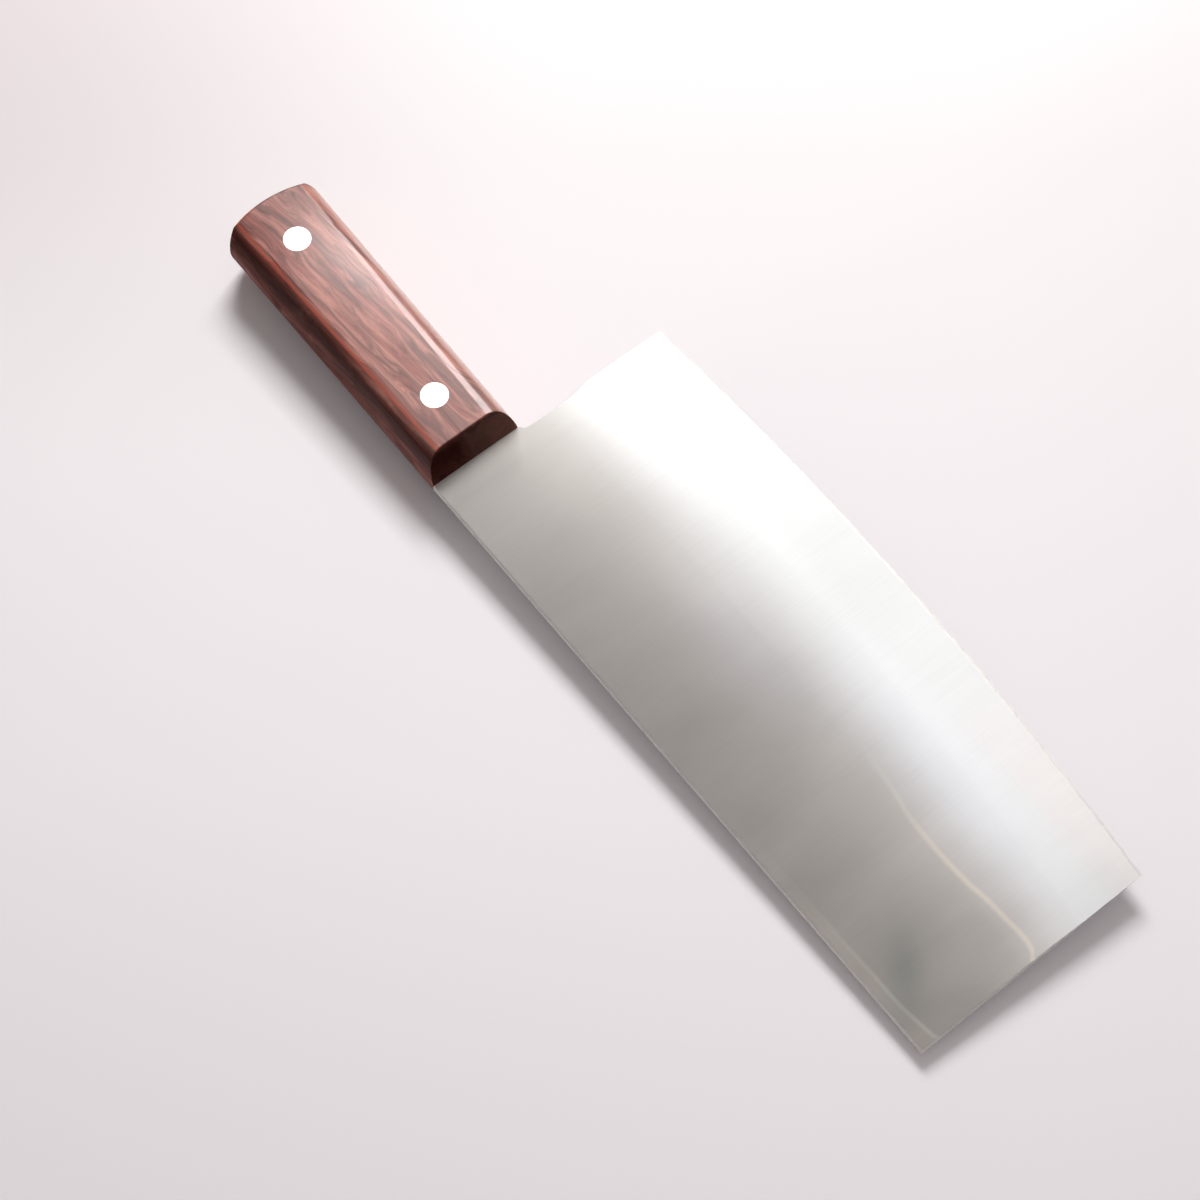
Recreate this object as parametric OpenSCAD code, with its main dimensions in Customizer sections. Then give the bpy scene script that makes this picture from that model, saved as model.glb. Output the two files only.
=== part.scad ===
// Chinese cleaver lying on its side. A wide stainless blade ends in a hidden tang, which is slotted
// into a one-piece hardwood handle and held there by two two-part rivets.
// +X runs from the butt to the toe, +Y from the spine to the cutting edge, +Z up.
// The origin is the centre of the underside of the box round the whole knife.
// The modules are drawn on bench axes: X = 0 at the handle's front, Y = 0 at the blade's spine and
// Z = 0 half way through the blade.

/* [Blade] */
// Length of the blade, handle to toe
blade_len = 220; // [160:1:280]
// Depth of the blade at the heel, spine to cutting edge
heel_depth = 86.3; // [70:0.1:110]
// Depth of the blade at the toe
toe_depth = 81.8; // [60:0.1:110]
// Radius of the belly, the shallow curve of the cutting edge
belly_r = 1150; // [500:10:3000]
// Thickness of the sheet that the blade is cut from
plate_t = 2.5; // [1.6:0.1:5]
// Chamfer along the spine and down the toe
spine_chamfer = 0.4; // [0.1:0.05:0.6]
// Width of the ground face, measured in from the cutting edge
grind_w = 44; // [20:1:55]
// Width of the curve that leads from the flat of the blade into the ground face
grind_blend_w = 20; // [5:1:30]
// Width of the sharpened bevel
bevel_w = 0.7; // [0.4:0.1:2]
// Thickness just behind the sharpened bevel
bevel_t = 0.4; // [0.2:0.05:1]

/* [Heel] */
// Step from the handle's front out to the straight part of the heel
heel_step = 0.5; // [0.2:0.1:3]
// Radius of the hollow cut between the handle and the heel
relief_r = 70; // [40:1:120]
// How far the hollow reaches past the handle's front
relief_reach = 2.2; // [1:0.1:4]
// Distance from the spine to the deepest point of the hollow
relief_y = 43; // [38:0.5:50]

/* [Handle] */
// Length of the handle, front to the middle of the butt
handle_len = 107.5; // [95:0.5:140]
// Thickness of the handle between its two flats
handle_t = 21; // [16:0.5:26]
// Width of the handle at its front
front_w = 31.7; // [27:0.1:36]
// Width of the handle at the butt
butt_w = 33.6; // [27:0.1:40]
// Distance that the handle's side lies in from the line of the spine
handle_inset = 0.2; // [0:0.1:3]
// Radius of the rounded long sides
side_r = 14; // [13:0.5:20]
// Rounding where the long sides meet the flats, at the front
front_arris_r = 6.5; // [1:0.1:8]
// Rounding where the long sides meet the flats, at the butt
rear_arris_r = 3; // [1:0.1:8]
// Radius of the curved butt, seen from above
butt_r = 37; // [22:0.5:90]
// Rounding round the edge of the butt
butt_arris_r = 1.6; // [0.5:0.1:4]
// How far the front leans back for each millimetre away from the blade
front_lean = 0.53; // [0:0.01:0.8]
// Rounding where the leaning front meets the flats
front_edge_r = 1; // [0.3:0.1:3]

/* [Tang] */
// Width of the tang where it leaves the blade
tang_root_w = 22; // [16:0.5:24]
// Width of the tang at its round end
tang_end_w = 17; // [12:0.5:20]
// Thickness of the tang, ground down from the sheet
tang_t = 2.3; // [1.4:0.1:4.8]
// Length of the tang inside the handle
tang_len = 98; // [70:0.5:101]
// Gap all round the tang in its slot
slot_gap = 0.15; // [0.05:0.05:0.3]

/* [Rivets] */
// Distance of the front rivet from the handle's front
front_rivet_x = 20; // [14:0.5:30]
// Distance of the rear rivet from the handle's front
rear_rivet_x = 89.3; // [50:0.1:90]
// Distance of both rivets from the line of the spine
rivet_y = 16.3; // [15:0.1:18]
// Diameter of the rivet heads
rivet_head_d = 8.6; // [7:0.1:11]
// Thickness of the rivet heads
rivet_head_h = 2.6; // [1.5:0.1:4]
// Outside diameter of the tube on the lower half
rivet_tube_d = 5; // [4.4:0.1:6]
// Diameter of the pin on the upper half
rivet_pin_d = 3.2; // [2.4:0.1:3.6]
// Gap round the rivets where they pass through wood and into each other
rivet_gap = 0.05; // [0.02:0.01:0.1]
// Gap round the rivet tube where it passes through the tang
tang_hole_gap = 0.25; // [0.1:0.05:0.5]
// Gap left between the tube's end and the upper head, which lets the halves draw tight
draw_gap = 0.4; // [0.2:0.1:1]

/* [Hidden] */
$fn = 96;
belly_fn = 1440;
past = 1;
handle_half = handle_t / 2;
plate_half = plate_t / 2;
handle_mid_y = handle_inset + front_w / 2;
flare = atan((butt_w - front_w) / handle_len);

// Centre of the circle that carries the cutting edge: through the heel corner and the toe corner
heel_corner = [heel_step, heel_depth];
toe_corner = [blade_len, toe_depth];
edge_chord = toe_corner - heel_corner;
half_chord = norm(edge_chord) / 2;
chord_normal = [-edge_chord[1], edge_chord[0]] / norm(edge_chord);
belly_c = (heel_corner + toe_corner) / 2 - chord_normal * sqrt(belly_r^2 - half_chord^2);

// Half the plate's thickness where the ground face's curve ends and its straight slope starts
blend_angle = atan((plate_half - bevel_t / 2) / (2 * (grind_w - bevel_w) - grind_blend_w));
slope_z = plate_half - grind_blend_w * tan(blend_angle);

// The box round the whole knife
belly_peaks = belly_c[0] > heel_step && belly_c[0] < blade_len;
deepest_y = belly_peaks ? belly_c[1] + belly_r : max(heel_depth, toe_depth);
box_mid = [(blade_len - handle_len) / 2, deepest_y / 2];

// The rounding between a flat and a long side touches both, and shrinks evenly towards the butt.
// These give its radius, its centre and the height where it meets the side, at a distance along X
// from the front. Y and Z are measured from the centre of the side's arc.
arris_shrink = (front_arris_r - rear_arris_r) / handle_len;
function touching_y(r) = sqrt((side_r - r)^2 - (handle_half - r)^2);
front_arris_y = touching_y(front_arris_r);
arris_spread = (touching_y(rear_arris_r) - front_arris_y) / handle_len;
function arris_r(x) = front_arris_r + arris_shrink * x;
function arris_c(x) = [x, front_arris_y - arris_spread * x, handle_half - arris_r(x)];
function side_top(r) = (handle_half - r) * side_r / (side_r - r);
side_top_slope = (side_top(rear_arris_r) - side_top(front_arris_r)) / handle_len;
function side_top_at(x) = side_top(front_arris_r) - side_top_slope * x;

steel = "#c9c8c4";
rosewood = "#6f3a30";
rivet_metal = "#ededea";

// Moves a piece from the bench axes to the part's own axes
module in_place() {
    translate([-box_mid[0], -box_mid[1], handle_half]) children();
}

// Plan outline of the tang, or of its slot when it is grown
module tang_outline(grow = 0) {
    end_r = tang_end_w / 2 + grow;
    end_x = -tang_len - grow + end_r;
    root_half = tang_root_w / 2 + grow;
    translate([0, rivet_y]) {
        polygon([[past, -root_half], [past, root_half], [0, root_half], [end_x, end_r],
            [end_x, -end_r], [0, -root_half]]);
        translate([end_x, 0]) circle(end_r);
    }
}

// The hollow between the handle and the heel, and the straight heel beyond it
module heel_cut() {
    shoulder_y = handle_inset + front_w;
    reach = heel_depth + past;
    intersection() {
        union() {
            translate([relief_reach - relief_r, relief_y]) circle(relief_r, $fn = 720);
            translate([-reach, 0]) square([reach + heel_step, 2 * reach]);
        }
        polygon([[-reach, shoulder_y - reach], [reach, shoulder_y + reach], [reach, 3 * reach],
            [-reach, 3 * reach]]);
    }
}

// Plan outline of the steel: the blade, whose far side is left to the belly, and its tang
module steel_outline() {
    difference() {
        union() {
            difference() {
                square([blade_len, deepest_y + past]);
                heel_cut();
            }
            tang_outline();
        }
        for (x = [front_rivet_x, rear_rivet_x])
            translate([-x, rivet_y]) circle(d = rivet_tube_d + 2 * tang_hole_gap);
    }
}

// The plate seen from the cutting edge: thinner along the tang, with chamfers down its toe
module plate_profile() {
    tang_half = tang_t / 2;
    toe_half = plate_half - spine_chamfer;
    bevel_x = blade_len - spine_chamfer;
    rear = -tang_len - past;
    rotate([90, 0, 0])
        linear_extrude(3 * heel_depth, center = true)
            polygon([[rear, -tang_half], [0, -tang_half], [0, -plate_half],
                [bevel_x, -plate_half], [blade_len, -toe_half], [blade_len, toe_half],
                [bevel_x, plate_half], [0, plate_half], [0, tang_half], [rear, tang_half]]);
}

// The plate seen from the toe, with the chamfers along its spine
module spine_bevels() {
    spine_half = plate_half - spine_chamfer;
    total = blade_len + tang_len + 2 * past;
    translate([-tang_len - past, 0, 0])
        rotate([90, 0, 90])
            linear_extrude(total)
                polygon([[0, -spine_half], [spine_chamfer + past, -plate_half - past],
                    [2 * heel_depth, -plate_half - past], [2 * heel_depth, plate_half + past],
                    [spine_chamfer + past, plate_half + past], [0, spine_half]]);
}

// A wide disc round the belly's centre, whose rim has the straight ground faces and the bevel
module belly_grind() {
    top = plate_half + past;
    slope = (slope_z - bevel_t / 2) / (grind_w - grind_blend_w - bevel_w);
    bevel_start = belly_r - bevel_w;
    grind_start = bevel_start - (top - bevel_t / 2) / slope;
    translate([belly_c[0], belly_c[1], 0])
        rotate_extrude($fn = belly_fn)
            polygon([[0, -top], [grind_start, -top], [bevel_start, -bevel_t / 2], [belly_r, 0],
                [bevel_start, bevel_t / 2], [grind_start, top], [0, top]]);
}

// A disc with a hollow ring in each side, which takes off the crease where the ground face starts.
// In its section an arc leaves the flat, and meets the straight slope, at a very slight angle.
module grind_blend() {
    crease = 0.12;
    arc_r = grind_blend_w / cos(blend_angle) / (2 * sin(blend_angle - crease));
    arc_x = belly_r - grind_w - arc_r * sin(crease);
    arc_z = plate_half - arc_r * cos(crease);
    arc_end = belly_r - grind_w + grind_blend_w + arc_r * sin(crease);
    top = plate_half + past;
    translate([belly_c[0], belly_c[1], 0])
        rotate_extrude($fn = belly_fn) {
            translate([0, -top]) square([arc_x, 2 * top]);
            translate([arc_end, -top]) square([grind_w, 2 * top]);
            intersection() {
                translate([arc_x, arc_z]) circle(arc_r);
                translate([arc_x, -arc_z]) circle(arc_r);
                translate([arc_x - past, -top]) square([arc_end - arc_x + 2 * past, 2 * top]);
            }
        }
}

// The rounded arris above the middle of one side, from past the butt to past the front.
// It is a cone because the rounding shrinks, and stays a hair inside the flat and the side.
module upper_arris() {
    hair = 0.01;
    start = arris_c(-handle_len - 2 * past);
    finish = arris_c(2 * past);
    along = finish - start;
    half_angle = asin(arris_shrink * (finish[0] - start[0]) / norm(along));
    translate(start)
        rotate([0, acos(along[2] / norm(along)), atan2(along[1], along[0])])
            cylinder(h = norm(along), r1 = (arris_r(start[0]) - hair) / cos(half_angle),
                r2 = (arris_r(finish[0]) - hair) / cos(half_angle));
}

// A bar along X with a flat top and bottom, rounded arrises and a rounded side that faces +Y
module side_bar() {
    reach = 2 * butt_w;
    rear = -handle_len - past;
    translate([0, -side_r, 0]) {
        linear_extrude(handle_t, center = true)
            polygon([[rear, -reach], [past, -reach], [past, arris_c(past)[1]],
                [rear, arris_c(rear)[1]]]);
        for (side = [0, 1])
            mirror([0, 0, side]) upper_arris();
        intersection() {
            translate([rear, 0, 0])
                rotate([0, 90, 0]) cylinder(h = past - rear, r = side_r, $fn = 360);
            rotate([90, 0, 0])
                linear_extrude(3 * side_r, center = true)
                    polygon([[rear, -side_top_at(rear)], [past, -side_top_at(past)],
                        [past, side_top_at(past)], [rear, side_top_at(rear)]]);
        }
    }
}

// The two long sides: one along the spine's line, the other flared towards the butt
module long_sides() {
    intersection() {
        translate([0, handle_inset, 0]) mirror([0, 1, 0]) side_bar();
        translate([0, handle_inset + front_w, 0]) rotate([0, 0, -flare]) side_bar();
    }
}

// The curved butt with its rounded edge, run forward as a block
module butt_curve() {
    flat_r = butt_r - butt_arris_r;
    flat_half = handle_half - butt_arris_r;
    centre_x = -handle_len + butt_r;
    translate([centre_x, handle_mid_y, 0])
        rotate_extrude() {
            translate([0, -handle_half]) square([flat_r, handle_t]);
            translate([0, -flat_half]) square([butt_r, 2 * flat_half]);
            for (side = [-1, 1])
                translate([flat_r, side * flat_half]) circle(butt_arris_r);
        }
    translate([centre_x, -butt_w, -handle_half]) cube([-centre_x + past, 4 * butt_w, handle_t]);
}

// The front, which leans back on both sides of a narrow land where the blade seats, and is rounded
// into the flats
module front_lean_cut() {
    lean_len = norm([1, front_lean]);
    edge_z = handle_half - front_edge_r;
    edge_x = -(edge_z - plate_half) * front_lean - front_edge_r * lean_len;
    meet_x = edge_x + front_edge_r / lean_len;
    meet_z = edge_z + front_edge_r * front_lean / lean_len;
    rear = -handle_len - past;
    rotate([90, 0, 0])
        linear_extrude(6 * butt_w, center = true) {
            polygon([[rear, -handle_half], [edge_x, -handle_half], [meet_x, -meet_z],
                [0, -plate_half], [0, plate_half], [meet_x, meet_z], [edge_x, handle_half],
                [rear, handle_half]]);
            for (side = [-1, 1])
                translate([edge_x, side * edge_z]) circle(front_edge_r);
        }
}

// The hole for one rivet: a tube's width right through and a seat for each head
module rivet_hole() {
    seat_h = rivet_head_h + rivet_gap;
    cylinder(h = handle_t + 2 * past, d = rivet_tube_d + 2 * rivet_gap, center = true);
    for (side = [0, 1])
        mirror([0, 0, side])
            translate([0, 0, handle_half - seat_h])
                cylinder(h = seat_h + past, d = rivet_head_d + 2 * rivet_gap);
}

// Upper half of a rivet: a flat head and the pin that is driven into the lower half
module rivet_stud() {
    pin_len = handle_t - 2 * rivet_head_h - draw_gap;
    translate([0, 0, handle_half - rivet_head_h]) {
        cylinder(h = rivet_head_h, d = rivet_head_d);
        translate([0, 0, -pin_len]) cylinder(h = pin_len + rivet_head_h / 2, d = rivet_pin_d);
    }
}

// Lower half of a rivet: a flat head and the tube that takes the pin
module rivet_cap() {
    tube_top = handle_half - rivet_head_h - draw_gap;
    bore_d = rivet_pin_d + 2 * rivet_gap;
    bore_floor = -handle_half + rivet_head_h;
    difference() {
        union() {
            translate([0, 0, -handle_half]) cylinder(h = rivet_head_h, d = rivet_head_d);
            translate([0, 0, -handle_half + rivet_head_h / 2])
                cylinder(h = tube_top + handle_half - rivet_head_h / 2, d = rivet_tube_d);
        }
        translate([0, 0, bore_floor]) cylinder(h = handle_t, d = bore_d);
    }
}

// One forged and ground piece of stainless steel: the blade and the tang behind it
module blade() {
    color(steel) in_place()
        intersection() {
            linear_extrude(plate_t + 2 * past, center = true) steel_outline();
            plate_profile();
            spine_bevels();
            belly_grind();
            grind_blend();
        }
}

// One block of lacquered hardwood, with a slot for the tang and seats for the rivets
module handle() {
    color(rosewood) in_place()
        difference() {
            intersection() {
                long_sides();
                butt_curve();
                front_lean_cut();
            }
            linear_extrude(tang_t + 2 * slot_gap, center = true) tang_outline(slot_gap);
            for (x = [front_rivet_x, rear_rivet_x])
                translate([-x, rivet_y, 0]) rivet_hole();
        }
}

module front_rivet_stud() {
    color(rivet_metal) in_place() translate([-front_rivet_x, rivet_y, 0]) rivet_stud();
}

module front_rivet_cap() {
    color(rivet_metal) in_place() translate([-front_rivet_x, rivet_y, 0]) rivet_cap();
}

module rear_rivet_stud() {
    color(rivet_metal) in_place() translate([-rear_rivet_x, rivet_y, 0]) rivet_stud();
}

module rear_rivet_cap() {
    color(rivet_metal) in_place() translate([-rear_rivet_x, rivet_y, 0]) rivet_cap();
}

blade();
handle();
front_rivet_stud();
front_rivet_cap();
rear_rivet_stud();
rear_rivet_cap();
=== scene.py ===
import math

import bmesh
import bpy
from mathutils import Matrix, Vector


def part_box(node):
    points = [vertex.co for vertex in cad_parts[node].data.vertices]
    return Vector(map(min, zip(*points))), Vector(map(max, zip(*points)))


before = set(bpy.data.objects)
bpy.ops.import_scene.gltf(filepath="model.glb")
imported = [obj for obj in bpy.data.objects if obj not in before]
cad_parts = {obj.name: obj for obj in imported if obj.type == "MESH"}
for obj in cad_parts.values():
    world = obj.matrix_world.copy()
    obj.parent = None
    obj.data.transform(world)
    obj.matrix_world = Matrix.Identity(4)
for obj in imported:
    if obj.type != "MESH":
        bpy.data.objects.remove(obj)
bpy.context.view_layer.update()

bl_info = {
    "name": "Chinese Cleaver",
    "version": (1, 0, 0),
    "blender": (4, 5, 0),
    "location": "3D View > Sidebar > Cleaver",
    "description": "Dresses a chinese cleaver and sets it on a lit tabletop",
    "category": "Object",
}

ROOT = "root"
MM = 0.001

BLADE_LOW, BLADE_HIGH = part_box("blade")
HANDLE_LOW, HANDLE_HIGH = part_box("handle")
# The spine's line, the toe, the handle's front and the height half way through the blade
SPINE_Y = BLADE_LOW.y
TOE_X = BLADE_HIGH.x
HANDLE_FRONT_X = HANDLE_HIGH.x
MID_Z = (HANDLE_LOW.z + HANDLE_HIGH.z) / 2

# Lines on the blade, in millimetres ahead of the handle and in from the spine: the end of the
# belly's grinding near the toe, and the inner side of the rubbed band along the spine
GRIND_LINE = (
    (140, 46.0), (150, 44.8), (160, 43.4), (170, 41.9), (180, 41.6), (190, 41.9), (200, 43.0),
    (207, 43.3), (212, 43.6), (216, 43.2), (217.7, 42.5), (219, 41.2),
)
SPINE_LINE = (
    (120, 1.8), (150, 3.0), (170, 3.4), (185, 3.5), (195, 3.75), (205, 3.8), (212, 4.5),
    (217, 5.1), (219.5, 5.9),
)
# Painted reflection: how bright the steel is painted at places along and across the blade, and
# painted light and shade in soft patches, each with its middle, its reach and its change
PAINTED_REFLECTION_ALONG = ((0, 1.2), (25, 1.09), (60, 0.98), (90, 0.95), (130, 1.035), (165, 1.12), (220, 1.2))
PAINTED_REFLECTION_ACROSS = ((0, 0.9), (18, 0.865), (30, 0.925), (45, 1.05), (64, 1.21), (75, 1.145), (85, 1.12))
PAINTED_LIGHT_AND_SHADE_PATCHES = (((226, 70), (32, 24), -0.12), ((76, 42), (40, 14), 0.12))
# Soft patches of painted bluish reflection, each with its middle and its reach
BLUISH_REFLECTION_PATCHES = (((165, 58), (75, 20)), ((98, 38), (48, 18)))
# A darker greenish patch near the toe. Its second axis slants: it is y plus a share of x
DARK_PATCH_SLANT = 0.55
DARK_PATCH_MIDDLE = (200, 121)
DARK_PATCH_REACH = (17, 11)
# The tabletop as it is seen far off, near by and in the far left corner, with painted light near by
# and painted shade in the far left corner, and its shadows' tint
FAR_PAPER = (0.85, 0.815, 0.82, 1)
NEAR_PAPER = (0.985, 0.945, 0.985, 1)
CORNER_PAPER = (0.72, 0.665, 0.675, 1)
LIFT_COLOUR = (1.0, 0.93, 0.97, 1)
# How bright the lit tabletop renders, where 1 is white
PAPER_LEVEL = 0.76
# Places that set the floor: how far the handle's resting corner lies behind its front and in from
# its side, and how far the toe's edge lies in from the belly's deepest point
REST_BEHIND = 4 * MM
REST_IN = 6 * MM
TOE_EDGE_IN = 8 * MM
# Tints that the colours of the wood and the steel are multiplied by. The warm and bluish steel tints
# are painted reflection, and the grinding line's and ledge's tints are painted highlights
WARM_REFLECTION_TINT = (1.045, 0.985, 0.94, 1)
BROWN_WOOD = (0.66, 0.7, 0.76, 1)
BLUISH_REFLECTION_TINT = (0.98, 0.99, 1.03, 1)
BELLY_STEEL = (1.05, 1.0, 0.99, 1)
GRIND_LINE_HIGHLIGHT = (1.28, 1.22, 1.14, 1)
LEDGE_HIGHLIGHT = (1.04, 1.03, 1.03, 1)
BAND_GLOW = (1.09, 1.07, 1.06, 1)
DARK_PATCH_STEEL = (0.78, 0.84, 0.83, 1)
BAND_LINE_GLOW = (1.2, 1.21, 1.22, 1)


def linear(hex_colour):
    """Turns an sRGB hex colour into the linear RGBA that a shader socket holds."""
    channels = [int(hex_colour[i:i + 2], 16) / 255 for i in (1, 3, 5)]
    curve = [c / 12.92 if c <= 0.04045 else ((c + 0.055) / 1.055) ** 2.4 for c in channels]
    return (*curve, 1.0)


def add_node(tree, kind, settings=None, inputs=None):
    """Adds a node. An input's value is a plain value, or the output socket to link it from."""
    node = tree.nodes.new(kind)
    for name, value in (settings or {}).items():
        setattr(node, name, value)
    for name, value in (inputs or {}).items():
        if isinstance(value, bpy.types.NodeSocket):
            tree.links.new(value, node.inputs[name])
        else:
            node.inputs[name].default_value = value
    return node


def new_material(name):
    """A material with an empty tree and its output."""
    material = bpy.data.materials.new(name)
    material.use_nodes = True
    material.node_tree.nodes.clear()
    output = material.node_tree.nodes.new("ShaderNodeOutputMaterial")
    return material, material.node_tree, output


def object_point(tree, size, offset=(0, 0, 0)):
    """Object coordinates divided by a real size in metres along each axis."""
    coords = add_node(tree, "ShaderNodeTexCoord")
    return add_node(tree, "ShaderNodeMapping", None, {
        "Vector": coords.outputs["Object"],
        "Location": offset,
        "Scale": [1 / s for s in size],
    }).outputs["Vector"]


def noise(tree, point, detail=2.0, roughness=0.5):
    """Noise whose features are about one unit of the given point wide, as a socket."""
    return add_node(tree, "ShaderNodeTexNoise", None, {
        "Vector": point,
        "Scale": 1.0,
        "Detail": detail,
        "Roughness": roughness,
    }).outputs["Fac"]


def shifted(tree, point, shift):
    """A point moved by a vector."""
    node = add_node(tree, "ShaderNodeVectorMath", {"operation": "ADD"}, {0: point, 1: shift})
    return node.outputs["Vector"]


def math_node(tree, operation, first, second=0.0, third=0.0):
    """One math operation on numbers or sockets, as a socket."""
    node = add_node(tree, "ShaderNodeMath", {"operation": operation})
    for i, value in enumerate((first, second, third)):
        if isinstance(value, bpy.types.NodeSocket):
            tree.links.new(value, node.inputs[i])
        else:
            node.inputs[i].default_value = value
    return node.outputs["Value"]


def product(tree, first, *others):
    """The product of numbers and sockets, as a socket."""
    for other in others:
        first = math_node(tree, "MULTIPLY", first, other)
    return first


def remap(tree, value, low, high, to_low, to_high, smooth=False):
    """Maps a range of a socket onto another, clamped at both ends."""
    return add_node(tree, "ShaderNodeMapRange", {
        "interpolation_type": "SMOOTHSTEP" if smooth else "LINEAR",
    }, {
        "Value": value,
        "From Min": low,
        "From Max": high,
        "To Min": to_low,
        "To Max": to_high,
    }).outputs["Result"]


def knife_point(tree):
    """How far a point lies ahead of the handle's front, in from the spine and up, in millimetres."""
    coords = add_node(tree, "ShaderNodeTexCoord")
    split = add_node(tree, "ShaderNodeSeparateXYZ", None, {"Vector": coords.outputs["Object"]})
    origin = (HANDLE_FRONT_X, SPINE_Y, MID_Z)
    return [math_node(tree, "MULTIPLY_ADD", split.outputs[i], 1 / MM, -origin[i] / MM)
            for i in range(3)]


def bell(tree, value, middle, reach):
    """1 at the middle value, falling smoothly to 0 at the reach on either side."""
    gap = math_node(tree, "ABSOLUTE", math_node(tree, "SUBTRACT", value, middle))
    return remap(tree, gap, 0.0, reach, 1.0, 0.0, True)


def spot(tree, x, y, middle, reach):
    """A soft patch round a place on the blade."""
    return product(tree, bell(tree, x, middle[0], reach[0]), bell(tree, y, middle[1], reach[1]))


def graph(tree, value, points):
    """Carries a value along a smooth line through the points, held level past both ends."""
    xs, ys = zip(*points)
    low, high = min(ys), max(ys)
    node = add_node(tree, "ShaderNodeFloatCurve", None, {
        "Value": remap(tree, value, xs[0], xs[-1], 0.0, 1.0),
    })
    line = node.mapping.curves[0]
    places = [((x - xs[0]) / (xs[-1] - xs[0]), (y - low) / (high - low)) for x, y in points]
    line.points[0].location, line.points[1].location = places[0], places[-1]
    for place in places[1:-1]:
        line.points.new(*place)
    node.mapping.update()
    return remap(tree, node.outputs["Value"], 0.0, 1.0, low, high)


def blend_colours(tree, factor, first, second, mode="MIX"):
    """Mixes two colours by a socket or a number."""
    node = add_node(tree, "ShaderNodeMix", {"data_type": "RGBA", "blend_type": mode})
    for index, value in ((0, factor), (6, first), (7, second)):
        if isinstance(value, bpy.types.NodeSocket):
            tree.links.new(value, node.inputs[index])
        else:
            node.inputs[index].default_value = value
    return node.outputs[2]


def tint(tree, amount, colour, tone):
    """Multiplies a colour by a tone, as far as the amount says."""
    return blend_colours(tree, amount, colour, tone, "MULTIPLY")


class BladeSettings(bpy.types.PropertyGroup):
    steel: bpy.props.StringProperty(
        name="Steel", description="Colour of the bare stainless steel", default="#959595")
    scratch_pitch: bpy.props.FloatProperty(
        name="Scratch pitch", description="Width of one polishing scratch",
        default=0.35 * MM, unit="LENGTH")
    scratch_length: bpy.props.FloatProperty(
        name="Scratch length", description="Length of one polishing scratch",
        default=22 * MM, unit="LENGTH")
    # Polished steel, lightened to serve as a painted reflection on the narrow faces and the bevel
    polished_steel_and_reflection: bpy.props.StringProperty(
        name="Polished steel", description="Colour of the polished corners and the whetted bevel",
        default="#f6f3f0")
    belly_radius: bpy.props.FloatProperty(
        name="Belly radius", description="Radius of the cutting edge's curve",
        default=1150 * MM, unit="LENGTH")
    toe_depth: bpy.props.FloatProperty(
        name="Toe depth", description="From the spine to the edge at the toe",
        default=81.8 * MM, unit="LENGTH")


class HandleSettings(bpy.types.PropertyGroup):
    wood: bpy.props.StringProperty(
        name="Wood", description="Main colour of the heartwood", default="#9a5347")
    dark_wood: bpy.props.StringProperty(
        name="Dark wood", description="Colour of the dark streaks", default="#3a1a16")
    light_wood: bpy.props.StringProperty(
        name="Light wood", description="Colour of the lightest bands", default="#c48071")
    # Painted light: the belly side, which faces the lamps, is painted in this paler colour
    lit_belly_wood: bpy.props.StringProperty(
        name="Pale wood", description="Colour of the sapwood on the belly side",
        default="#d0937e")
    # Painted highlight: a redder lit line along the spine side's corner, in this colour
    lit_corner_wood: bpy.props.StringProperty(
        name="Corner wood", description="Colour of the worn corner along the spine side",
        default="#b84e32")
    butt_radius: bpy.props.FloatProperty(
        name="Butt radius", description="Radius of the curved butt, seen from above",
        default=37 * MM, unit="LENGTH")
    front_lean: bpy.props.FloatProperty(
        name="Front lean", description="How far the front leans back for its height", default=0.53)
    side_gloss: bpy.props.FloatProperty(
        name="Side gloss", description="Weight of the lacquer on the spine side", default=0.12)


class StageSettings(bpy.types.PropertyGroup):
    lens: bpy.props.FloatProperty(
        name="Lens", description="Focal length on a 36 mm wide sensor", default=85.33)
    turn: bpy.props.FloatProperty(
        name="Turn", description="How far the camera stands round from the spine side",
        default=math.radians(51.4), subtype="ANGLE")
    elevation: bpy.props.FloatProperty(
        name="Elevation", description="Height of the camera over the blade, as an angle",
        default=math.radians(65.7), subtype="ANGLE")
    distance: bpy.props.FloatProperty(
        name="Distance", description="From the camera to the point that it looks at",
        default=0.8308, unit="LENGTH")
    aim_ahead: bpy.props.FloatProperty(
        name="Aim ahead", description="The aim's distance in front of the handle",
        default=59.36 * MM, unit="LENGTH")
    aim_in: bpy.props.FloatProperty(
        name="Aim in", description="The aim's distance in from the spine",
        default=16.0 * MM, unit="LENGTH")
    lamp_distance: bpy.props.FloatProperty(
        name="Lamp distance", description="From each lamp to the point that the camera looks at",
        default=0.9, unit="LENGTH")
    lamp_elevation: bpy.props.FloatProperty(
        name="Lamp elevation", description="Height of the back lamp, as an angle",
        default=0.72, subtype="ANGLE")
    lamp_roll: bpy.props.FloatProperty(
        name="Lamp roll", description="How far the back lamp is turned in its own plane",
        default=0.533, subtype="ANGLE")
    paper: bpy.props.StringProperty(
        name="Paper", description="Colour of the tabletop", default="#f0e9e9")
    half_view: bpy.props.FloatProperty(
        name="Half view", description="Half the width of the picture at the aim",
        default=178 * MM, unit="LENGTH")
    shadow_lift: bpy.props.FloatProperty(
        name="Shadow lift", description="Light that the tabletop's shadows gain", default=0.045)
    blade_lift: bpy.props.FloatProperty(
        name="Blade lift", description="Light that the steel throws back into its own shadow",
        default=0.06)
    toe_lift: bpy.props.FloatProperty(
        name="Toe lift", description="Height of the toe's spine corner over the floor",
        default=2.0 * MM, unit="LENGTH")
    toe_gap: bpy.props.FloatProperty(
        name="Toe gap", description="Height of the toe's middle at its edge over the floor",
        default=7.9 * MM, unit="LENGTH")


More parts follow.
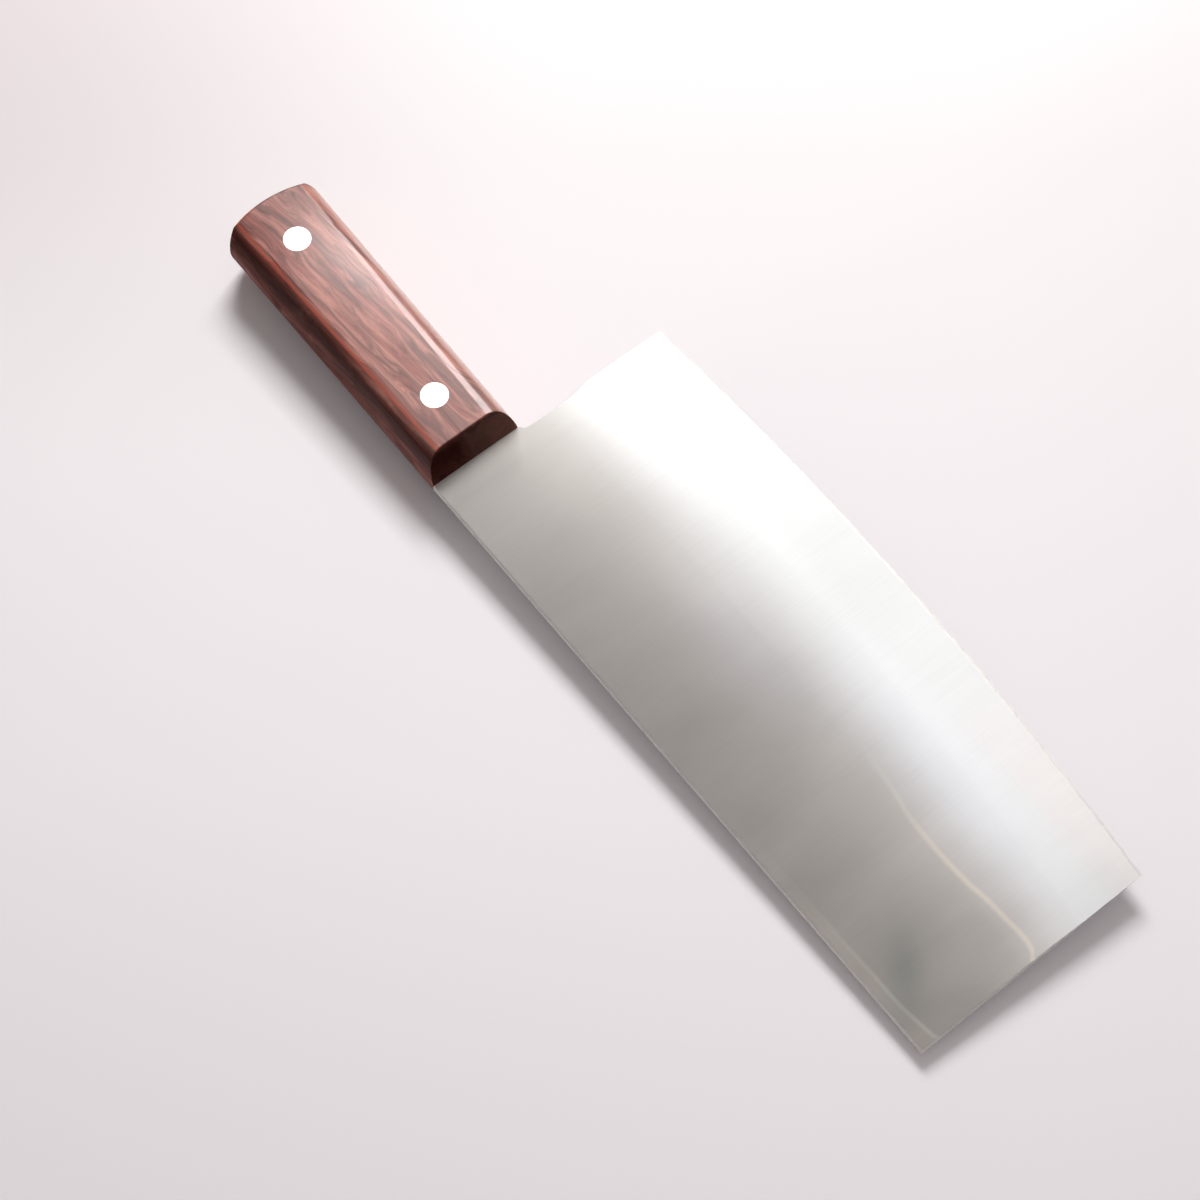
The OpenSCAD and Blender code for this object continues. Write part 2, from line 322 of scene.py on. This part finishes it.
def distance_from(tree, x, y, centre):
    """How far a point lies from a place on the knife, seen from above, in millimetres."""
    flat = add_node(tree, "ShaderNodeCombineXYZ", None, {"X": x, "Y": y})
    return add_node(tree, "ShaderNodeVectorMath", {"operation": "DISTANCE"}, {
        0: flat.outputs["Vector"],
        1: (*centre, 0),
    }).outputs["Value"]


def past_edge(tree, x, y, settings):
    """How far a point of the blade lies beyond the cutting edge, in millimetres."""
    radius = settings.belly_radius / MM
    centre_y = (BLADE_HIGH.y - SPINE_Y) / MM - radius
    drop = settings.toe_depth / MM - centre_y
    centre_x = (TOE_X - HANDLE_FRONT_X) / MM - math.sqrt(radius ** 2 - drop ** 2)
    return math_node(tree, "SUBTRACT", distance_from(tree, x, y, (centre_x, centre_y)), radius)


def steel_tone(tree, x, y, cloud, settings):
    """The satin steel's colour with painted reflection: shaded along, across and in patches, warmer by
    the spine, bluish inside.
    """
    scratch = (settings.scratch_pitch, settings.scratch_length, settings.scratch_length)
    fine = noise(tree, object_point(tree, scratch), 3.0, 0.6)
    # Painted light: the steel is brightened by the heel, next to the handle's front
    heel = product(tree, remap(tree, x, 1.0, 9.0, 0.4, 0.0), remap(tree, y, 24.0, 31.0, 1.0, 0.0))
    shade = product(
        tree, graph(tree, x, PAINTED_REFLECTION_ALONG), graph(tree, y, PAINTED_REFLECTION_ACROSS),
        remap(tree, cloud, 0.3, 0.7, 0.97, 1.03), remap(tree, fine, 0.35, 0.65, 0.98, 1.015),
        math_node(tree, "ADD", heel, 1.0))
    # Painted shade and painted light in soft patches
    for middle, reach, change in PAINTED_LIGHT_AND_SHADE_PATCHES:
        patch = spot(tree, x, y, middle, reach)
        shade = product(tree, shade, math_node(tree, "MULTIPLY_ADD", patch, change, 1.0))
    steel = tint(tree, 1.0, linear(settings.steel), shade)

    # Painted reflection: the steel is tinted warmer by the spine
    steel = tint(tree, remap(tree, y, 32.0, 64.0, 1.0, 0.0, True), steel, WARM_REFLECTION_TINT)
    # Painted reflection: bluish patches on the steel
    for middle, reach in BLUISH_REFLECTION_PATCHES:
        steel = tint(tree, spot(tree, x, y, middle, reach), steel, BLUISH_REFLECTION_TINT)
    belly = product(tree, remap(tree, y, 68.0, 78.0, 0.0, 1.0, True),
                    remap(tree, x, 140.0, 185.0, 0.0, 1.0, True))
    return tint(tree, belly, steel, BELLY_STEEL)


def toe_marks(tree, x, y, steel):
    """Paints what shows near the toe: a painted highlight on the grinding's end and the ledge past it,
    a darker greenish patch and the rubbed band.
    """
    # Painted highlight along the end of the grinding, and a fainter one on the ledge past it
    line_off = math_node(tree, "SUBTRACT", y, graph(tree, x, GRIND_LINE))
    line_on = remap(tree, x, 132.0, 196.0, 0.0, 1.0, True)
    line = product(tree, bell(tree, line_off, -0.2, 1.4), line_on)
    steel = tint(tree, line, steel, GRIND_LINE_HIGHLIGHT)
    ledge = product(tree, remap(tree, line_off, -0.5, 0.5, 0.0, 1.0, True),
                    remap(tree, line_off, 0.5, 9.0, 1.0, 0.0, True), line_on)
    steel = tint(tree, ledge, steel, LEDGE_HIGHLIGHT)

    slanted = math_node(tree, "MULTIPLY_ADD", x, DARK_PATCH_SLANT, y)
    steel = tint(tree, spot(tree, x, slanted, DARK_PATCH_MIDDLE, DARK_PATCH_REACH), steel, DARK_PATCH_STEEL)

    band_off = math_node(tree, "SUBTRACT", y, graph(tree, x, SPINE_LINE))
    band = product(tree, remap(tree, band_off, 0.0, 1.2, 1.0, 0.0, True),
                   remap(tree, x, 125.0, 190.0, 0.0, 1.0, True))
    steel = tint(tree, band, steel, BAND_GLOW)
    band_line = product(tree, bell(tree, band_off, 0.0, 1.1),
                        remap(tree, x, 165.0, 215.0, 0.0, 1.0, True))
    return tint(tree, band_line, steel, BAND_LINE_GLOW)


def blade_corners(tree):
    """1 on the narrow faces of the spine, toe and heel, and 0 on the blade's two wide sides."""
    coords = add_node(tree, "ShaderNodeTexCoord")
    facing = add_node(tree, "ShaderNodeSeparateXYZ", None, {"Vector": coords.outputs["Normal"]})
    along, across = (remap(tree, math_node(tree, "ABSOLUTE", facing.outputs[axis]),
                           0.45, 0.6, 0.0, 1.0) for axis in ("X", "Y"))
    return math_node(tree, "MAXIMUM", along, across)


def brushed_stainless(settings):
    """Stainless steel, ground and then satin polished across the blade.

    The fine scratches run from spine to edge, so a reflection smears along the blade. The bloom
    on the steel and the marks near the toe are painted, some as painted highlights, and a painted
    reflection brightens the polished corners and bevel.
    """
    material, tree, output = new_material("brushed_stainless_steel")
    x, y, _ = knife_point(tree)
    cloud = noise(tree, object_point(tree, (14 * MM, 30 * MM, 30 * MM)), 2.0, 0.5)
    steel = steel_tone(tree, x, y, cloud, settings)
    steel = toe_marks(tree, x, y, steel)

    corners = blade_corners(tree)
    whetted = product(tree, remap(tree, past_edge(tree, x, y, settings), -0.8, -0.6, 0.0, 1.0),
                      remap(tree, x, 185.0, 220.0, 1.0, 0.75))
    bare = math_node(tree, "MAXIMUM", corners, whetted)
    # Painted reflection: the narrow faces and the whetted bevel are brightened towards the polished
    # colour
    bright = math_node(tree, "MAXIMUM", product(tree, corners, 0.6), whetted)
    steel = blend_colours(tree, bright, steel, linear(settings.polished_steel_and_reflection))
    satin = remap(tree, cloud, 0.3, 0.7, 0.285, 0.315)
    across = add_node(tree, "ShaderNodeCombineXYZ", None, {"X": 1.0})
    shader = add_node(tree, "ShaderNodeBsdfPrincipled", None, {
        "Base Color": steel,
        "Metallic": 1.0,
        "Roughness": math_node(tree, "MAXIMUM", satin, product(tree, bare, 0.75)),
        "Anisotropic": math_node(tree, "SUBTRACT", 1.0, bare),
        "Tangent": across.outputs["Vector"],
    })
    tree.links.new(shader.outputs["BSDF"], output.inputs["Surface"])
    return material


def grain(tree, path, length, width, offset):
    """A point of the grain's path, scaled so that noise there is as long and wide as given."""
    return add_node(tree, "ShaderNodeMapping", None, {
        "Vector": path,
        "Location": offset,
        "Scale": (1 / length, 1 / width, 1 / width),
    }).outputs["Vector"]


def wood_grain(tree, x, y, z, settings):
    """The wood's colour: light bands with wavy dark streaks, thin lines, hairs and pores, and a
    painted sheen towards the belly side.
    """
    dark, light = linear(settings.dark_wood), linear(settings.light_wood)
    drift = math_node(tree, "MULTIPLY_ADD", x, -0.085, y)
    sway = noise(tree, object_point(tree, (40 * MM, 9 * MM, 9 * MM), (3.1, 0.7, 0.2)), 2.0)
    path = add_node(tree, "ShaderNodeCombineXYZ", None, {
        "X": x,
        "Y": math_node(tree, "ADD", drift, remap(tree, sway, 0.25, 0.75, -4.0, 4.0)),
        "Z": math_node(tree, "ADD", z, remap(tree, sway, 0.25, 0.75, 3.0, -3.0)),
    }).outputs["Vector"]
    bands = noise(tree, grain(tree, path, 55, 4.0, (0.3, 0.1, 0.6)), 3.0)
    streaks = noise(tree, grain(tree, path, 44, 2.5, (1.4, 0.3, 2.2)), 3.0, 0.55)
    lines = noise(tree, grain(tree, path, 34, 1.2, (1.7, 0.6, 3.1)), 2.5, 0.5)
    hairs = noise(tree, grain(tree, path, 18, 0.6, (2.4, 0.3, 1.2)), 3.0, 0.55)
    pores = noise(tree, grain(tree, path, 3.2, 0.25, (0, 0, 0)), 1.0)

    wood = blend_colours(tree, remap(tree, bands, 0.38, 0.62, 0.0, 1.0, True),
                         linear(settings.wood), light)
    # Painted sheen: the wood is lightened towards the belly side
    wood = blend_colours(tree, remap(tree, y, 8.0, 28.0, 0.0, 0.4), wood, light)
    wood = blend_colours(tree, remap(tree, hairs, 0.4, 0.68, 0.0, 0.32), wood, dark)
    wood = blend_colours(tree, remap(tree, lines, 0.44, 0.63, 0.0, 0.34, True), wood, dark)
    wood = blend_colours(tree, remap(tree, streaks, 0.46, 0.63, 0.0, 0.55, True), wood, dark)
    return blend_colours(tree, remap(tree, pores, 0.62, 0.74, 0.0, 0.3), wood, dark)


def brown_part(tree, x, y):
    """How brown the wood is: more by the spine side and round the butt."""
    inner = product(tree, remap(tree, y, 5.0, 19.0, 0.45, 0.0, True),
                    remap(tree, x, -50.0, -25.0, 1.0, 0.1, True))
    butt = product(tree, remap(tree, x, -107.0, -84.0, 0.7, 0.0, True),
                   remap(tree, y, 18.0, 34.0, 1.0, 0.3, True))
    return math_node(tree, "MAXIMUM", inner, butt)


def butt_rim(tree, x, y, settings):
    """1 round the rim of the curved butt, and 0 a little further in."""
    radius = settings.butt_radius / MM
    centre = ((HANDLE_LOW.x - HANDLE_FRONT_X) / MM + radius,
              ((HANDLE_LOW.y + HANDLE_HIGH.y) / 2 - SPINE_Y) / MM)
    from_centre = distance_from(tree, x, y, centre)
    return product(tree, remap(tree, from_centre, radius - 1.7, radius - 0.9, 0.0, 1.0),
                   remap(tree, x, -96.0, -90.0, 1.0, 0.0))


def side_tones(tree, wood, spine_side, below_flat, rim, settings):
    """Paints shade on the spine side with a lit line at its corner, and paints light on the belly
    side.
    """
    # Painted shade: the spine side is darkened, less so low down and by the butt's rim
    painted_flank_shade = product(tree, spine_side, remap(tree, below_flat, 0.3, 2.2, 0.0, 0.85),
                    remap(tree, below_flat, 3.5, 8.0, 1.0, 0.3),
                    remap(tree, rim, 0.0, 1.0, 1.0, 0.4))
    wood = blend_colours(tree, painted_flank_shade, wood, linear(settings.dark_wood))
    belly_side = math_node(tree, "SUBTRACT", 1.0, spine_side)
    # Painted light: the belly side is paled where it faces the lamps
    pale = product(tree, belly_side, remap(tree, below_flat, 0.6, 2.5, 0.0, 0.58),
                   remap(tree, rim, 0.0, 1.0, 1.0, 0.15))
    wood = blend_colours(tree, pale, wood, linear(settings.lit_belly_wood))
    # Painted highlight: a redder lit line along the spine side's corner
    corner = product(tree, spine_side, bell(tree, below_flat, 0.3, 0.28), 0.75)
    return blend_colours(tree, corner, wood, linear(settings.lit_corner_wood))


def lacquer_gloss(tree, x, y, down_spine_side, lean, settings):
    """How much the lacquer shines: less on the spine side, the leaning front and the butt."""
    on_flat = math_node(tree, "MAXIMUM", remap(tree, y, 4.0, 24.0, 0.5, 1.0),
                        remap(tree, x, -50.0, -20.0, 0.5, 0.9))
    return product(
        tree, on_flat, remap(tree, down_spine_side, 0.1, 1.5, 1.0, settings.side_gloss),
        remap(tree, x, -107.0, -66.0, 0.3, 1.0, True), remap(tree, lean, 0.0, 0.5, 1.0, 0.15))


def lacquered_rosewood(settings):
    """Reddish tropical hardwood, sawn along the grain, sanded and coated with clear gloss lacquer.

    Long wavy dark streaks run along the handle, with thinner lines and short pores between them.
    Painted shade darkens the spine side, with a painted highlight along its corner, painted light
    makes the belly side pale, the butt is brown with a painted dark reflection round its rim, and the
    front shows dark end grain.
    """
    material, tree, output = new_material("lacquered_rosewood")
    x, y, z = knife_point(tree)
    half = (HANDLE_HIGH.z - HANDLE_LOW.z) / 2 / MM
    off_middle = math_node(tree, "ABSOLUTE", z)
    below_flat = math_node(tree, "SUBTRACT", half, off_middle)
    lean = math_node(tree, "MULTIPLY_ADD", off_middle, settings.front_lean, x)
    spine_side = remap(tree, y, 12.0, 16.0, 1.0, 0.0)
    rim = butt_rim(tree, x, y, settings)

    wood = wood_grain(tree, x, y, z, settings)
    wood = tint(tree, brown_part(tree, x, y), wood, BROWN_WOOD)
    # Painted reflection: a dark line round the butt's rim
    wood = blend_colours(tree, product(tree, rim, 0.4), wood, linear(settings.dark_wood))
    wood = side_tones(tree, wood, spine_side, below_flat, rim, settings)
    end_grain = product(tree, remap(tree, lean, 0.0, 0.5, 0.0, 0.82),
                        remap(tree, y, 18.0, 32.0, 1.0, 0.6))
    wood = blend_colours(tree, end_grain, wood, linear(settings.dark_wood))
    gloss = lacquer_gloss(tree, x, y, product(tree, spine_side, below_flat), lean, settings)
    shader = add_node(tree, "ShaderNodeBsdfPrincipled", None, {
        "Base Color": wood,
        "Roughness": 0.46,
        "IOR": 1.5,
        "Specular IOR Level": product(tree, gloss, 0.9),
        "Coat Weight": gloss,
        "Coat Roughness": 0.1,
        "Coat IOR": 1.65,
    })
    tree.links.new(shader.outputs["BSDF"], output.inputs["Surface"])
    return material


def polished_rivet():
    """Aluminium rivet, ground flush with the wood and buffed: bright, with faint swirls."""
    material, tree, output = new_material("buffed_aluminium")
    swirl = noise(tree, object_point(tree, (1.2 * MM, 0.25 * MM, 1.2 * MM)), 2.0)
    shader = add_node(tree, "ShaderNodeBsdfPrincipled", None, {
        "Base Color": linear("#f4f3f1"),
        "Metallic": 1.0,
        "Roughness": remap(tree, swirl, 0.3, 0.7, 0.36, 0.42),
    })
    tree.links.new(shader.outputs["BSDF"], output.inputs["Surface"])
    return material


def dress(node, material):
    """Gives a CAD node its finish."""
    mesh_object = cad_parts[node]
    if not mesh_object.material_slots:
        mesh_object.data.materials.append(material)
    for slot in mesh_object.material_slots:
        slot.material = material


class CLEAVER_OT_blade(bpy.types.Operator):
    """Finish the blade in brushed stainless steel."""

    bl_idname = "cleaver.blade"
    bl_label = "Blade"

    def execute(self, context):
        dress("blade", brushed_stainless(context.scene.cleaver_blade))
        return {"FINISHED"}


class CLEAVER_OT_handle(bpy.types.Operator):
    """Finish the handle in lacquered rosewood."""

    bl_idname = "cleaver.handle"
    bl_label = "Handle"

    def execute(self, context):
        dress("handle", lacquered_rosewood(context.scene.cleaver_handle))
        return {"FINISHED"}


class CLEAVER_OT_rivets(bpy.types.Operator):
    """Finish both halves of the two rivets in buffed aluminium."""

    bl_idname = "cleaver.rivets"
    bl_label = "Rivets"

    def execute(self, context):
        material = polished_rivet()
        for place in ("front", "rear"):
            for half in ("stud", "cap"):
                dress(f"{place}_rivet_{half}", material)
        return {"FINISHED"}


def camera_axes(stage):
    """The camera's right, up and backward directions."""
    turn, lift = stage.turn, stage.elevation
    right = Vector((math.cos(turn), math.sin(turn), 0))
    away = Vector((-math.sin(turn), math.cos(turn), 0))
    up = away * math.sin(lift) + Vector((0, 0, math.cos(lift)))
    back = -away * math.cos(lift) + Vector((0, 0, math.sin(lift)))
    return right, up, back


def aim_point(stage):
    """The point half way through the blade that the camera looks at."""
    return Vector((HANDLE_FRONT_X + stage.aim_ahead, SPINE_Y + stage.aim_in, MID_Z))


def make_camera(stage):
    """A camera with no roll, placed round the knife by angles."""
    right, up, back = camera_axes(stage)
    place = aim_point(stage) + back * stage.distance
    data = bpy.data.cameras.new("camera")
    data.lens = stage.lens
    data.sensor_width = 36
    data.clip_start = 0.01
    camera = bpy.data.objects.new("camera", data)
    turn = Matrix((right, up, back)).transposed().to_4x4()
    camera.matrix_world = Matrix.Translation(place) @ turn
    bpy.context.scene.collection.objects.link(camera)
    bpy.context.scene.camera = camera


def floor_frame(stage):
    """A point of the floor and its normal.

    The floor touches the lower front corner of the handle and slopes away under the blade. The
    gaps under the toe are set by the width of the shadow there.
    """
    handle_rest = Vector((HANDLE_FRONT_X - REST_BEHIND, HANDLE_LOW.y + REST_IN, HANDLE_LOW.z))
    plate_half = (BLADE_HIGH.z - BLADE_LOW.z) / 2
    toe_rest = Vector((TOE_X, SPINE_Y, MID_Z - plate_half - stage.toe_lift))
    toe_edge = Vector((TOE_X, BLADE_HIGH.y - TOE_EDGE_IN, MID_Z - stage.toe_gap))
    normal = (toe_rest - handle_rest).cross(toe_edge - handle_rest).normalized()
    return handle_rest, normal


def matt_paper(stage):
    """Pale matt paper. As the camera sees it, painted light makes its near part and its right side
    lighter and lifts its shadows, most of all beside the blade, and painted shade darkens its far left
    corner."""
    material, tree, output = new_material("matt_paper")
    coords = add_node(tree, "ShaderNodeTexCoord")
    right, _, _ = camera_axes(stage)
    away = Vector((-right.y, right.x, 0))
    aim = aim_point(stage)
    across, along = (add_node(tree, "ShaderNodeVectorMath", {"operation": "DOT_PRODUCT"}, {
        0: shifted(tree, coords.outputs["Object"], -aim),
        1: axis / stage.half_view,
    }).outputs["Value"] for axis in (right, away))
    paper = linear(stage.paper)
    # Painted light: the tabletop is lighter near by
    near = blend_colours(tree, remap(tree, along, -0.3, 0.95, 1.0, 0.0), FAR_PAPER, NEAR_PAPER)
    # Painted shade in the far left corner
    corner = product(tree, remap(tree, across, -1.15, 0.0, 1.0, 0.0, True),
                     remap(tree, along, 0.2, 1.2, 0.0, 1.0, True))
    cornered = blend_colours(tree, corner, near, CORNER_PAPER)
    by_blade = remap(tree, knife_point(tree)[0], -10.0, 25.0, 0.0, 1.0, True)
    unlifted = math_node(tree, "MULTIPLY_ADD", by_blade, -stage.blade_lift / PAPER_LEVEL, 1.0)
    # Painted shade towards the left, painted light towards the right
    slope = product(tree, remap(tree, across, -1.0, 0.7, 0.955, 1.03), unlifted)
    seen_paper = tint(tree, 1.0, cornered, slope)
    path = add_node(tree, "ShaderNodeLightPath").outputs
    seen = math_node(tree, "MAXIMUM", path["Is Camera Ray"], math_node(
        tree, "MAXIMUM", path["Is Glossy Ray"], path["Is Transmission Ray"]))
    matt = add_node(tree, "ShaderNodeBsdfDiffuse", None, {
        "Color": blend_colours(tree, seen, paper, seen_paper),
    })
    lift = add_node(tree, "ShaderNodeEmission", None, {
        "Color": LIFT_COLOUR,
        "Strength": product(tree, seen, math_node(
            tree, "MULTIPLY_ADD", by_blade, stage.blade_lift, stage.shadow_lift)),
    })
    both = add_node(tree, "ShaderNodeAddShader", None, {
        0: matt.outputs["BSDF"],
        1: lift.outputs["Emission"],
    })
    tree.links.new(both.outputs["Shader"], output.inputs["Surface"])
    return material


def make_floor(stage):
    """A wide pale tabletop, tilted to lie under the handle's corner and the toe."""
    point, normal = floor_frame(stage)
    mesh = bpy.data.meshes.new("floor")
    shape = bmesh.new()
    bmesh.ops.create_grid(shape, x_segments=8, y_segments=8, size=2.0)
    turn = normal.to_track_quat("Z", "Y").to_matrix().to_4x4()
    shape.transform(Matrix.Translation(point) @ turn)
    shape.to_mesh(mesh)
    shape.free()
    floor = bpy.data.objects.new("floor", mesh)
    bpy.context.scene.collection.objects.link(floor)
    floor.data.materials.append(matt_paper(stage))


def make_area_light(name, stage, azimuth, elevation, roll, size, radiance):
    """A rectangular lamp that faces the aim. Its azimuth is measured to the right of straight back."""
    turn = stage.turn - azimuth
    flat = Vector((-math.sin(turn), math.cos(turn), 0))
    toward = flat * math.cos(elevation) + Vector((0, 0, math.sin(elevation)))
    side = flat.cross(Vector((0, 0, 1)))
    rise = side.cross(toward)
    width_axis = side * math.cos(roll) + rise * math.sin(roll)
    height_axis = toward.cross(width_axis)
    data = bpy.data.lights.new(name, "AREA")
    data.shape = "RECTANGLE"
    data.size, data.size_y = size
    data.energy = radiance * math.pi * size[0] * size[1]
    light = bpy.data.objects.new(name, data)
    axes = Matrix((width_axis, height_axis, toward)).transposed().to_4x4()
    place = aim_point(stage) + toward * stage.lamp_distance
    light.matrix_world = Matrix.Translation(place) @ axes
    bpy.context.scene.collection.objects.link(light)
    return light


def make_lamps(stage):
    """Two softboxes that only show as reflections, and a lamp that lights and casts the shadows."""
    behind = {"azimuth": 0.0, "elevation": stage.lamp_elevation, "roll": stage.lamp_roll}
    back_softbox = make_area_light("back_softbox", stage, **behind, size=(1.0, 0.506), radiance=5.2)
    front_softbox = make_area_light("front_softbox", stage, azimuth=math.pi, elevation=0.35,
                                    roll=0.0, size=(1.6, 0.6), radiance=0.7)
    for softbox in (back_softbox, front_softbox):
        softbox.visible_diffuse = False
    back_lamp = make_area_light("back_lamp", stage, **behind, size=(0.45, 0.3), radiance=17.9)
    back_lamp.visible_glossy = False


def make_world(stage, dim, bright, colour):
    """Plain room light: bright overhead and behind the knife, dim behind the camera."""
    world = bpy.data.worlds.new("room")
    world.use_nodes = True
    tree = world.node_tree
    right, _, _ = camera_axes(stage)
    toward = Vector((-right.y, right.x, 0)) * 0.5 + Vector((0, 0, 0.87))
    coords = add_node(tree, "ShaderNodeTexCoord")
    rise = add_node(tree, "ShaderNodeVectorMath", {"operation": "DOT_PRODUCT"}, {
        0: coords.outputs["Generated"],
        1: toward,
    })
    background = tree.nodes["Background"]
    background.inputs["Color"].default_value = linear(colour)
    strength = remap(tree, rise.outputs["Value"], -0.5, 0.9, dim, bright)
    tree.links.new(strength, background.inputs["Strength"])
    bpy.context.scene.world = world


class CLEAVER_OT_stage(bpy.types.Operator):
    """Set up the camera, the tabletop and the studio light."""

    bl_idname = "cleaver.stage"
    bl_label = "Stage"

    def execute(self, context):
        stage = context.scene.cleaver_stage
        make_camera(stage)
        make_floor(stage)
        make_lamps(stage)
        make_world(stage, dim=0.04, bright=0.36, colour="#fbf4f0")
        context.scene.view_settings.view_transform = "Standard"
        return {"FINISHED"}


class CLEAVER_PT_panel(bpy.types.Panel):
    """Lists the cleaver's steps in the sidebar."""

    bl_idname = "CLEAVER_PT_panel"
    bl_label = "Chinese Cleaver"
    bl_space_type = "VIEW_3D"
    bl_region_type = "UI"
    bl_category = "Cleaver"

    def draw(self, context):
        for step in STEPS:
            self.layout.operator(step.bl_idname)
        for group in ("cleaver_blade", "cleaver_handle", "cleaver_stage"):
            settings = getattr(context.scene, group)
            for name in settings.bl_rna.properties.keys():
                if name not in ("rna_type", "name"):
                    self.layout.prop(settings, name)


GROUPS = {
    "cleaver_blade": BladeSettings,
    "cleaver_handle": HandleSettings,
    "cleaver_stage": StageSettings,
}
STEPS = (CLEAVER_OT_stage, CLEAVER_OT_blade, CLEAVER_OT_handle, CLEAVER_OT_rivets)
CLASSES = (*GROUPS.values(), *STEPS, CLEAVER_PT_panel)


def register():
    for cls in CLASSES:
        bpy.utils.register_class(cls)
    for name, group in GROUPS.items():
        setattr(bpy.types.Scene, name, bpy.props.PointerProperty(type=group))


def unregister():
    for name in GROUPS:
        delattr(bpy.types.Scene, name)
    for cls in reversed(CLASSES):
        bpy.utils.unregister_class(cls)


def main():
    register()
    bpy.ops.cleaver.stage()
    bpy.ops.cleaver.blade()
    bpy.ops.cleaver.handle()
    bpy.ops.cleaver.rivets()


if __name__ == "__main__":
    main()
